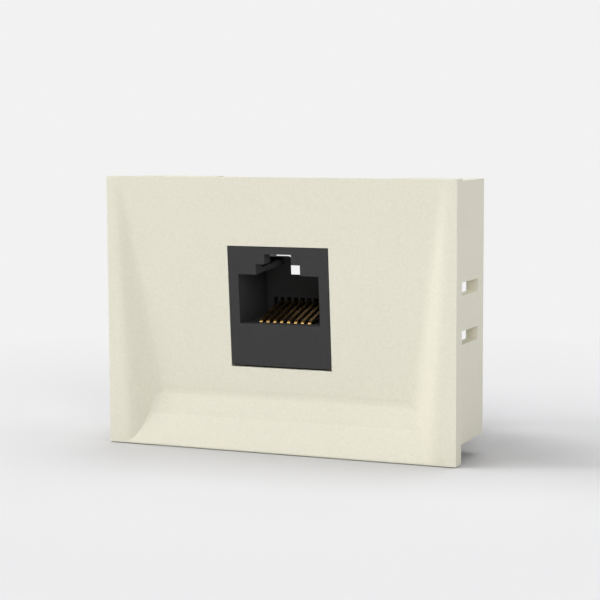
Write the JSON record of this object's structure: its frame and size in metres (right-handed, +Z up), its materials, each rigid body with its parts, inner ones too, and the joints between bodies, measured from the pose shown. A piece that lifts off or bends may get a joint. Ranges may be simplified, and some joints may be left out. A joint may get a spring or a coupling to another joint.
{
  "type": "ethernet socket module",
  "caption": "Ivory snap-in data outlet module with a tilted scooped panel and a black modular socket with gold contacts and punch-down terminals.",
  "frame": {"origin": "centre of the rear face of the lip below the skirt, where the module seats against its frame", "axes": "+X to the right seen from the front, +Y backwards into the wall, +Z up towards the plug's latch notch"},
  "size_m": [0.0506, 0.0293, 0.037],
  "materials": {
    "ivory_plastic": "fine satin moulding",
    "black_plastic": "satin moulding",
    "gold_contact": "gold plated, polished",
    "board_green": "solder mask",
    "terminal_metal": "tin plated"
  },
  "bodies": {
    "root": {"front_plate": "ivory_plastic", "jack_housing": "black_plastic", "contact_carrier": "black_plastic", "circuit_board": "board_green", "terminal_block": "black_plastic", "contact_1": "gold_contact", "contact_2": "gold_contact", "contact_3": "gold_contact", "contact_4": "gold_contact", "contact_5": "gold_contact", "contact_6": "gold_contact", "contact_7": "gold_contact", "contact_8": "gold_contact", "wire_terminal_1": "terminal_metal", "wire_terminal_2": "terminal_metal", "wire_terminal_3": "terminal_metal", "wire_terminal_4": "terminal_metal", "wire_terminal_5": "terminal_metal", "wire_terminal_6": "terminal_metal", "wire_terminal_7": "terminal_metal", "wire_terminal_8": "terminal_metal"}
  },
  "joints": []
}
